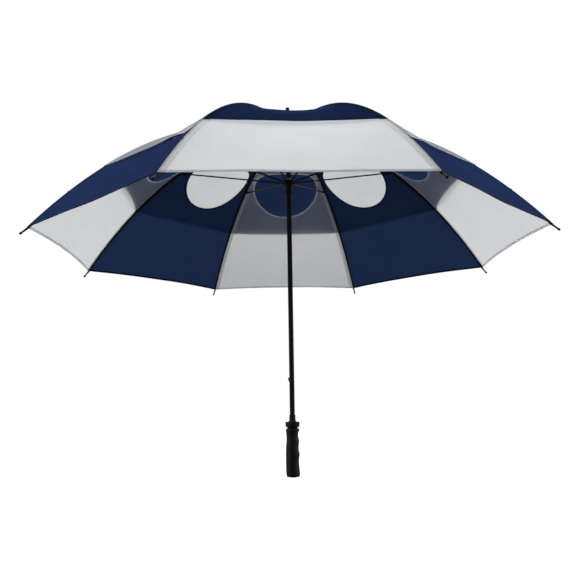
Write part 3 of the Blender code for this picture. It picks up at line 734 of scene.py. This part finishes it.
def stretcher():
    """A pressed channel with a fork at the rib and a flattened eye at the runner."""
    shape = Shape()
    channel = [(-0.0018, -0.0016), (0.0018, -0.0016), (0.0018, 0.0016), (0.0013, 0.0016), (0.0013, -0.0011),
               (-0.0013, -0.0011), (-0.0013, 0.0016), (-0.0018, 0.0016)]
    stations = np.linspace(0.0290, LINK - 0.0070, 12)
    shape.grid(np.array([[(x, y, z) for y, z in channel] for x in stations]), wrap=True, ends=True)
    for side in (-1, 1):
        low, high = sorted((side * 0.0029, side * 0.0039))
        prism(shape, tongue(0.0305, 0.0023, 0.0018), low, high)
    prism(shape, [(0.0262, -0.0019), (0.0330, -0.0018), (0.0330, -0.0010), (0.0262, -0.0010)], -0.0039, 0.0039)
    prism(shape, [(0.0262, -0.0019), (0.0285, -0.0019), (0.0285, 0.0017), (0.0262, 0.0017)], -0.0039, 0.0039)
    eye = [(LINK - x, z) for x, z in tongue(0.0100, 0.0023, 0.0014)]
    prism(shape, eye, -0.0011, 0.0011)
    prism(shape, [(LINK - 0.0160, -0.0014), (LINK - 0.0066, -0.0014), (LINK - 0.0066, 0.0012), (LINK - 0.0160, 0.0006)],
          -0.0013, 0.0013)
    place = down_slope(KNEE, math.pi - OPEN_ANGLE)
    turned = Shape()
    points = [place @ Vector(p) for p in np.concatenate(shape.points)]
    return turned.add(points, shape.faces, 0)


def tip():
    """The rib's rounded end, with the thread that holds the canopy's corner in its groove."""
    start = rib_point(RIB_END * RIM_RADIUS)
    slope = math.atan2(start[1] - RIM_Z, RIM_RADIUS - start[0])
    length = math.dist(start, (RIM_RADIUS, RIM_Z))
    shape = Shape()
    revolve_along(shape, smooth_profile([
        (0, 0.0002, 0), (0.0023, 0.0002, 0), (0.0026, 0.0005, 0), (0.0026, 0.0032, 0), (0.0022, 0.0038, 1),
        (0.0021, length - 0.0078, 1), (0.0022, length - 0.0062, 1), (0.0027, length - 0.0050, 1),
        (0.0030, length - 0.0030, 1), (0.0027, length - 0.0012, 1), (0.0016, length - 0.0003, 1), (0, length, 0),
    ]), start, slope, 24)
    turn = np.linspace(0, 2 * math.pi, 18, endpoint=False)
    place = down_slope(start, slope)
    for step in range(5):
        loop = [place @ Vector((0.0046 + step * 0.0006, 0.0025 * math.cos(a), 0.0025 * math.sin(a))) for a in turn]
        tube(shape, loop, 0.00030, 6, 1, closed=True)
    return shape


def build_ribs():
    inner, outer, link, end = inner_rib(), outer_rib(), stretcher(), tip()
    for number in range(1, RIBS + 1):
        turn = turn_to(number)
        piece = inner.make(f"rib_inner_{number}_rod", [ROD_RESIN, LINK_PAINT, BLACK_THREAD], turn=turn)
        keep(piece, f"rib_inner_{number}", f"rib_inner_{number}")
        piece = outer.make(f"rib_outer_{number}_rod", [ROD_RESIN, LINK_PAINT, BLACK_THREAD, STEEL], turn=turn)
        keep(piece, f"rib_outer_{number}", f"rib_outer_{number}")
        piece = link.make(f"stretcher_{number}_channel", [LINK_PAINT], turn=turn, bevel=0.0002)
        keep(piece, f"stretcher_{number}", f"stretcher_{number}")
        piece = end.make(f"rib_tip_{number}_cap", [LINK_PAINT, BLACK_THREAD], turn=turn)
        keep(piece, f"rib_outer_{number}", f"rib_tip_{number}")


# ---- Cloth ----
def dip(share, kind):
    x = share / kind["sag_at"]
    return RIM_RADIUS * kind["sag"] * (x * np.exp(1 - x)) ** kind["sag_power"]


def radius_at(s, u, kind):
    hem = RIM_RADIUS * (kind["middle"] + (kind["corner"] - kind["middle"]) * u * u)
    return PANEL_INNER + (hem - PANEL_INNER) * s


def half_width(radius):
    return radius * math.sin(HALF_PANEL) - SEAM_GAP / 2


def sheet_point(s, u, kind):
    """Points of a panel centred on +X, at shares s from crown to hem and u from rib to rib (-1 to 1)."""
    radius = radius_at(s, u, kind)
    half = half_width(radius)
    z = canopy_height(radius) + kind["lift"] - dip(radius / RIM_RADIUS, kind) * (1 - u * u)
    return np.stack([radius * math.cos(HALF_PANEL), u * half, z], -1)


def sheet_normal(s, u, kind):
    step = 0.0005
    down = sheet_point(s + step, u, kind) - sheet_point(s - step, u, kind)
    across = sheet_point(s, u + step, kind) - sheet_point(s, u - step, kind)
    normal = np.cross(down, across)
    return normal / np.linalg.norm(normal, axis=-1, keepdims=True)


def closed_reach(radius):
    """How far the cloth over a rib is from the shaft's axis once the umbrella is closed."""
    point = rib_point(radius)
    if radius < JOINT_RADIUS:
        start, end, near, far = CROWN, KNEE, CROWN[0], CLOSED_KNEE_RADIUS
    else:
        start, end, near, far = KNEE, tuple(rib_point(RIM_RADIUS)), CLOSED_KNEE_RADIUS, CLOSED_TIP_RADIUS
    chord = np.subtract(end, start)
    length = np.linalg.norm(chord)
    along = np.dot(point - start, chord) / length
    bow = (chord[0] * (point[1] - start[1]) - chord[1] * (point[0] - start[0])) / length
    return near + (far - near) * along / length + bow + RIB_OFFSET


def strip_width(radius):
    """Width of the cloth beside a rib that keeps to that rib as the umbrella closes."""
    return min((closed_reach(radius)) * math.tan(HALF_PANEL) + 0.0020, 0.92 * half_width(radius))


def hem_share(kind):
    """Share of a panel's length at which its hem is stitched."""
    return 1 - HEM_STITCH / (kind["corner"] * RIM_RADIUS)


def joint_share(kind):
    return (JOINT_RADIUS - PANEL_INNER) / (kind["corner"] * RIM_RADIUS - PANEL_INNER)


def middle_line(kind):
    """Shares and distances along a panel's middle from the centre of its round hole."""
    shares = np.linspace(0.0, 1.0, 801)
    points = sheet_point(shares, np.zeros_like(shares), kind)
    run = np.concatenate([[0.0], np.cumsum(np.linalg.norm(np.diff(points, axis=0), axis=1))])
    radii = radius_at(shares, 0.0, kind)
    return shares, run - np.interp(HOLE_AT * RIM_RADIUS, radii, run), run


def rows_of(kind):
    """Shares of a panel's rows, closer together near the ends of its round hole."""
    bend = joint_share(kind)
    if not kind["hole"]:
        return np.unique(np.concatenate([np.linspace(0, bend, 61), np.linspace(bend, 1, 41)]))
    shares, from_hole, _ = middle_line(kind)
    low, high = np.interp((-HOLE_RADIUS, HOLE_RADIUS), from_hole, shares)
    ring = np.interp(-HOLE_RADIUS * np.cos(np.linspace(0, math.pi, 49)), from_hole, shares)
    ring = ring[np.abs(ring - bend) > 0.0015]
    ring[0], ring[-1] = low, high
    return np.unique(np.concatenate([np.linspace(0, low, 36), ring, [bend], np.linspace(high, 1, 60)]))


def hole_share(rows, kind):
    """Half the round hole's width at each row, as a share of the panel's half width."""
    if not kind["hole"]:
        return np.zeros_like(rows)
    shares, from_hole, _ = middle_line(kind)
    along = np.interp(rows, shares, from_hole)
    half = half_width(radius_at(rows, 0.0, kind))
    return np.sqrt(np.clip(HOLE_RADIUS**2 - along**2, 0, None)) / half


def ripple(s, u, kind, distance):
    """Small creases: puckers beside the seam, and slack across the middle."""
    seam = np.sin(s * 95.0) * 0.6 + np.sin(s * 161.0 + 1.3) * 0.4
    pucker = 0.00035 * seam * np.exp(-((distance - 0.004) / 0.0045) ** 2) * np.clip(distance / 0.003, 0, 1)
    body = (1 - u * u) ** 2 * np.clip(s * 4, 0, 1)
    slack = np.sin(s * 21.0 + 2.2 * u) * np.sin(5.0 * u + 1.1 + 3.0 * s) + 0.6 * np.sin(s * 43.0 - 3.1 * u + 0.5)
    return pucker + kind["wrinkle"] * slack * body


def cloth_grid(kind, rows, columns):
    """Points and texture places of a block of cloth. columns(s) gives the u of each column in a row."""
    u = np.array([columns(s) for s in rows])
    s = np.broadcast_to(rows[:, None], u.shape)
    radius = radius_at(s, u, kind)
    distance = (1 - np.abs(u)) * half_width(radius)
    normal = sheet_normal(s, u, kind)
    points = sheet_point(s, u, kind) + normal * ripple(s, u, kind, distance)[..., None]
    _, _, run = middle_line(kind)
    along = np.interp(s, np.linspace(0, 1, 801), run)
    return points, np.stack([distance, along], -1), normal


def fold_hem(points, uv, normal):
    """Carries the last row round a small fold and back under the cloth."""
    edge, inward = points[-1], points[-2] - points[-1]
    inward /= np.linalg.norm(inward, axis=1, keepdims=True)
    down = -normal[-1]
    turn = [(0.0004 * math.sin(a), 0.0004 * (1 - math.cos(a))) for a in np.radians((45, 90, 135, 180))]
    rows = [edge - inward * out + down * drop for out, drop in turn]
    rows += [edge + inward * back + down * 0.0008 for back in (0.0025, 0.0056)]
    rows.append(edge + inward * 0.0058 + down * 0.0002)
    more = [uv[-1] + (0, 0.0008 * (k + 1)) for k in range(4)]
    more += [uv[-1] - (0, back) for back in (0.0025, 0.0056, 0.0058)]
    return np.concatenate([points, rows]), np.concatenate([uv, more])


STITCH_FACES = [(0, 1, 2), (0, 2, 3), (0, 3, 5), (0, 5, 1), (4, 2, 1), (4, 3, 2), (4, 5, 3), (4, 1, 5)]


def stitches(shape, line, normals, slot, pitch=0.0034, length=0.0024, across=0.00026):
    """A row of short raised stitches along a line on the cloth."""
    line, normals = np.asarray(line), np.asarray(normals)
    run = np.concatenate([[0.0], np.cumsum(np.linalg.norm(np.diff(line, axis=0), axis=1))])
    for place in np.arange(pitch / 2, run[-1] - pitch / 2, pitch):
        a, b, up = (
            np.array([np.interp(at, run, block[:, k]) for k in range(3)])
            for at, block in ((place - length / 2, line), (place + length / 2, line), (place, normals))
        )
        up /= np.linalg.norm(up)
        ahead = (b - a) / max(np.linalg.norm(b - a), 1e-9)
        side = np.cross(up, ahead) * across
        middle = (a + b) / 2 + up * 0.00012
        top, bottom = middle + up * across, middle - up * 0.0003
        body = [a - up * 0.0001, middle + side, top, middle - side, b - up * 0.0001, bottom]
        shape.add(body, STITCH_FACES, slot)


def cloth_line(kind, s, u, lift=0.00018):
    """A line on the outside of the cloth, and the way out of it, for stitches."""
    s, u = np.broadcast_arrays(np.asarray(s, float), np.asarray(u, float))
    distance = (1 - np.abs(u)) * half_width(radius_at(s, u, kind))
    normal = sheet_normal(s, u, kind)
    return sheet_point(s, u, kind) + normal * (ripple(s, u, kind, distance)[..., None] + lift), normal


def area_of(points):
    cells = points[:-1, :-1], points[1:, :-1], points[:-1, 1:], points[1:, 1:]
    return sum(
        float(np.linalg.norm(np.cross(b - a, c - a), axis=-1).sum()) / 2
        for a, b, c in ((cells[0], cells[1], cells[2]), (cells[3], cells[1], cells[2]))
    )


def declare(node, width, points):
    """Hides a panel's CAD node. The sheet's length, area and width are worked out but not used."""
    length = float(np.linalg.norm(np.diff(points[:, 0], axis=0), axis=1).sum())
    area = area_of(points)
    width = max(width, area / length)
    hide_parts(node)


def strip(kind, panel, side, rows, materials):
    """Cloth beside a rib, from the seam to strip_width."""
    number = (panel if side < 0 else panel % RIBS + 1)
    doubled = np.array([0.0, 0.10, 0.20, 0.35, 0.60, 0.85, 1.0])
    single = np.array([0.08, 0.35, 0.65, 1.0])
    last = len(doubled) - 1

    def columns(s):
        radius = radius_at(s, 1.0, kind)
        width = strip_width(radius)
        band = min(BAND, 0.9 * width)
        across = np.concatenate([doubled * band, band + single * (width - band)])
        return side * (1 - across / half_width(radius))

    points, uv, normal = cloth_grid(kind, rows, columns)
    if kind["hole"]:
        points[:, :last + 1] += normal[:, :last + 1] * DOUBLED_RISE
    folded, folded_uv = fold_hem(points, uv, normal)
    # Slot 3 holds the band's doubled cloth; on white panels its colour carries a painted highlight.
    slot = 3 if kind["hole"] else 0
    shape = Shape().grid(folded[:, :last + 1], slot, folded_uv[:, :last + 1], flip=side < 0)
    shape.grid(folded[:, last:], 0, folded_uv[:, last:], flip=side < 0)
    tape = points[2:, :3] - normal[2:, :3] * np.array([0.0009, 0.0007, 0.0005])[None, :, None]
    shape.grid(tape, 1, uv[2:, :3], flip=side < 0)
    picks = rows[2:]
    halves = np.array([half_width(radius_at(s, 1.0, kind)) for s in picks])
    rise = 0.0002 + (DOUBLED_RISE if kind["hole"] else 0.0)
    if kind["hole"]:
        wide = np.array([min(BAND, 0.9 * strip_width(radius_at(s, 1.0, kind))) for s in picks])
        stitches(shape, *cloth_line(kind, picks, side * (1 - 0.92 * wide / halves), rise), 2)
    seam_u = side * (1 - np.minimum(SEAM_STITCH / halves, 0.5))
    stitches(shape, *cloth_line(kind, picks, seam_u, rise), 2)
    corner = radius_at(1.0, 1.0, kind)
    hem_u = side * (1 - np.linspace(0.04, 1.0, 12) * strip_width(corner) / half_width(corner))
    stitches(shape, *cloth_line(kind, np.full(12, hem_share(kind)), hem_u), 2)
    name = f"{kind['name']}_{panel}_edge_{'a' if side < 0 else 'b'}"
    item = shape.make(name, materials, solid=False, sharp=60, turn=Matrix.Rotation(panel_angle(panel), 4, "Z"))
    knee = [rib_point(JOINT_RADIUS + reach) for reach in (-KNEE_BLEND, KNEE_BLEND)]
    ends = [turn_to(number) @ Vector((p[0], 0, p[1])) for p in knee]
    tuple(ends[0])
    tuple(ends[1])
    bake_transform(item)
    declare(f"{kind['name']}_panel_{panel}", 0.02, points)
    return item


def panel_angle(panel):
    return rib_angle(panel) + HALF_PANEL


def fold_axis(kind, panel, side, outer):
    """The way that a half panel's cloth gathers as the umbrella closes, and a point where it ends up."""
    number = (panel if side < 0 else panel % RIBS + 1)
    start, end = (KNEE, tuple(rib_point(RIM_RADIUS))) if outer else (CROWN, KNEE)
    rib = turn_to(number)
    chord = (rib @ Vector((end[0], 0, end[1])) - rib @ Vector((start[0], 0, start[1]))).normalized()
    across = Matrix.Rotation(panel_angle(panel), 3, "Z") @ Vector((0, -side, 0))
    toward = across - Vector((0, 0, kind["dip_outer"] if outer else kind["dip_inner"]))
    toward = (toward - chord * toward.dot(chord)).normalized()
    anchor = rib @ Vector((start[0], 0, start[1])) + toward * 0.0095
    return toward, anchor


def half_panel(kind, panel, side, outer, rows, materials):
    """Half of a panel's middle, from the strip beside a rib to the panel's centre line or its round hole."""
    number = (panel if side < 0 else panel % RIBS + 1)
    steps = np.linspace(0, 1, 23)

    def columns(s):
        radius = radius_at(s, 1.0, kind)
        start = 1 - strip_width(radius) / half_width(radius)
        stop = float(np.interp(s, rows, opening))
        return side * (start + (stop - start) * steps)

    opening = hole_share(rows, kind)
    points, uv, normal = cloth_grid(kind, rows, columns)
    folded, folded_uv = fold_hem(points, uv, normal) if outer else (points, uv)
    shape = Shape().grid(folded, 0, folded_uv, flip=side < 0)
    if outer:
        radius = radius_at(1.0, 1.0, kind)
        hem_u = side * np.linspace(1 - strip_width(radius) / half_width(radius), 0.0, 60)
        stitches(shape, *cloth_line(kind, np.full(60, hem_share(kind)), hem_u), 1)
    if kind["hole"]:
        bind_hole(shape, kind, side, outer)
    name = f"{kind['name']}_{panel}_{'outer' if outer else 'inner'}_{'a' if side < 0 else 'b'}"
    item = shape.make(name, materials, solid=False, sharp=60, turn=Matrix.Rotation(panel_angle(panel), 4, "Z"))
    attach(item, f"rib_{'outer' if outer else 'inner'}_{number}")
    toward, anchor = fold_axis(kind, panel, side, outer)
    tuple(toward)
    tuple(anchor)
    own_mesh(item)
    declare(f"{kind['name']}_panel_{panel}", 0.05, points)
    return item


def bind_hole(shape, kind, side, outer):
    """Cloth folded over the edge of the round hole, with a row of stitches in it."""
    shares, from_hole, _ = middle_line(kind)
    bend = float(np.interp(joint_share(kind), shares, from_hole))
    split = math.acos(max(-1.0, min(1.0, bend / HOLE_RADIUS)))
    angles = np.linspace(0, split, 40) if outer else np.linspace(split, math.pi, 40)
    upper = [(0.0042, 0.00045), (0.0020, 0.00050), (0.0002, 0.00050)]
    section = upper + [(-0.0005, 0.0)] + [(out, -lift) for out, lift in reversed(upper)]

    def ring(out, lift):
        radius = HOLE_RADIUS + out
        s = np.interp(radius * np.cos(angles), from_hole, shares)
        u = side * radius * np.sin(angles) / half_width(radius_at(s, 0.0, kind))
        distance = (1 - np.abs(u)) * half_width(radius_at(s, u, kind))
        normal = sheet_normal(s, u, kind)
        return sheet_point(s, u, kind) + normal * (ripple(s, u, kind, distance)[:, None] + lift), normal

    block = np.stack([ring(*place)[0] for place in section], 1)
    run = HOLE_RADIUS * angles
    uv = np.stack([np.broadcast_to(np.arange(len(section)) * 0.002, block.shape[:2]),
                   np.broadcast_to(run[:, None], block.shape[:2])], -1)
    shape.grid(block, 0, uv, flip=side > 0)
    stitches(shape, *ring(0.0032, 0.00055), 1)


def build_cloth():
    for kind in (LOWER, VENT):
        rows = rows_of(kind)
        bend = joint_share(kind)
        inner, outer = rows[rows <= bend + 1e-9], rows[rows >= bend - 1e-9]
        for panel in range(1, RIBS + 1):
            navy = (panel % 2 == 1) == (kind is LOWER)
            materials = [NAVY, NAVY_THREAD] if navy else [WHITE, WHITE_THREAD]
            # White panels' bands get the doubled white cloth with its painted highlight.
            doubled = NAVY if navy else WHITE_DOUBLED_HIGHLIT
            for side in (-1, 1):
                strip(kind, panel, side, rows, [materials[0], NAVY_TAPE, materials[1], doubled])
                half_panel(kind, panel, side, False, inner, materials)
                half_panel(kind, panel, side, True, outer, materials)


# ---- Studio ----
def build_studio():
    shape = Shape().add([(-30, -30, 0), (30, -30, 0), (30, 30, 0), (-30, 30, 0)], [(0, 1, 2, 3)])
    made = Nodes("studio_floor")
    soft = made.noise(0.8, 2.0, 0.5, made.place())
    made.set(Base_Color=made.ramp(soft, (0.3, 0.93), (0.7, 0.95)), Roughness=0.9, Emission_Color=(1.0, 1.0, 1.0))
    made.set(Emission_Strength=0.95)
    floor = shape.make("studio_floor", [made.material], solid=False)
    floor.location.z = -0.45
    floor.visible_diffuse = False
    floor.visible_glossy = False
    world = bpy.data.worlds.new("studio")
    bpy.context.scene.world = world
    world.use_nodes = True
    nodes, links = world.node_tree.nodes, world.node_tree.links
    backdrop = nodes["Background"]
    backdrop.inputs["Strength"].default_value = WORLD_LIGHT
    white = nodes.new("ShaderNodeBackground")
    white.inputs["Strength"].default_value = 1.0
    for node in (backdrop, white):
        node.inputs["Color"].default_value = (1.0, 1.0, 1.0, 1.0)
    path, mix = nodes.new("ShaderNodeLightPath"), nodes.new("ShaderNodeMixShader")
    links.new(path.outputs["Is Camera Ray"], mix.inputs[0])
    links.new(backdrop.outputs[0], mix.inputs[1])
    links.new(white.outputs[0], mix.inputs[2])
    links.new(mix.outputs[0], nodes["World Output"].inputs["Surface"])
    for name, place, target, size, energy in LIGHTS:
        light = bpy.data.lights.new(name, "AREA")
        light.shape = "SQUARE"
        light.size = size
        light.energy = energy
        item = bpy.data.objects.new(name, light)
        item.location = place
        item.rotation_euler = (Vector(target) - Vector(place)).to_track_quat("-Z", "Y").to_euler()
        bpy.context.scene.collection.objects.link(item)
    view = bpy.context.scene.view_settings
    view.view_transform = "Standard"
    view.look = "None"


WORLD_LIGHT = 0.13
LIGHTS = (
    ("overhead", (0.0, 0.9, 3.2), (0.0, 0.0, 0.8), 1.8, 44.0),
    ("left", (-3.3, 0.2, 1.9), (0.0, 0.0, 0.75), 1.8, 92.0),
    ("right", (3.3, 0.2, 1.9), (0.0, 0.0, 0.75), 1.8, 92.0),
    ("front", (-0.3, -3.6, 2.2), (0.0, 0.0, 0.8), 2.2, 5.0),
)
CAMERA_PLACE = (-0.0584, -1.6818, 0.1936)
CAMERA_TURN = (99.8596, 0.8655, -1.6281)
CAMERA_LENS = 40.164


def build_camera():
    camera = bpy.data.cameras.new("camera")
    camera.lens = CAMERA_LENS
    camera.sensor_width = 36.0
    camera.clip_start = 0.01
    item = bpy.data.objects.new("camera", camera)
    item.location = CAMERA_PLACE
    item.rotation_euler = [math.radians(a) for a in CAMERA_TURN]
    bpy.context.scene.collection.objects.link(item)
    bpy.context.scene.camera = item


build_camera()
build_shaft()
build_crown()
build_runner()
build_catches()
build_handle()
build_ribs()
build_cloth()
build_studio()
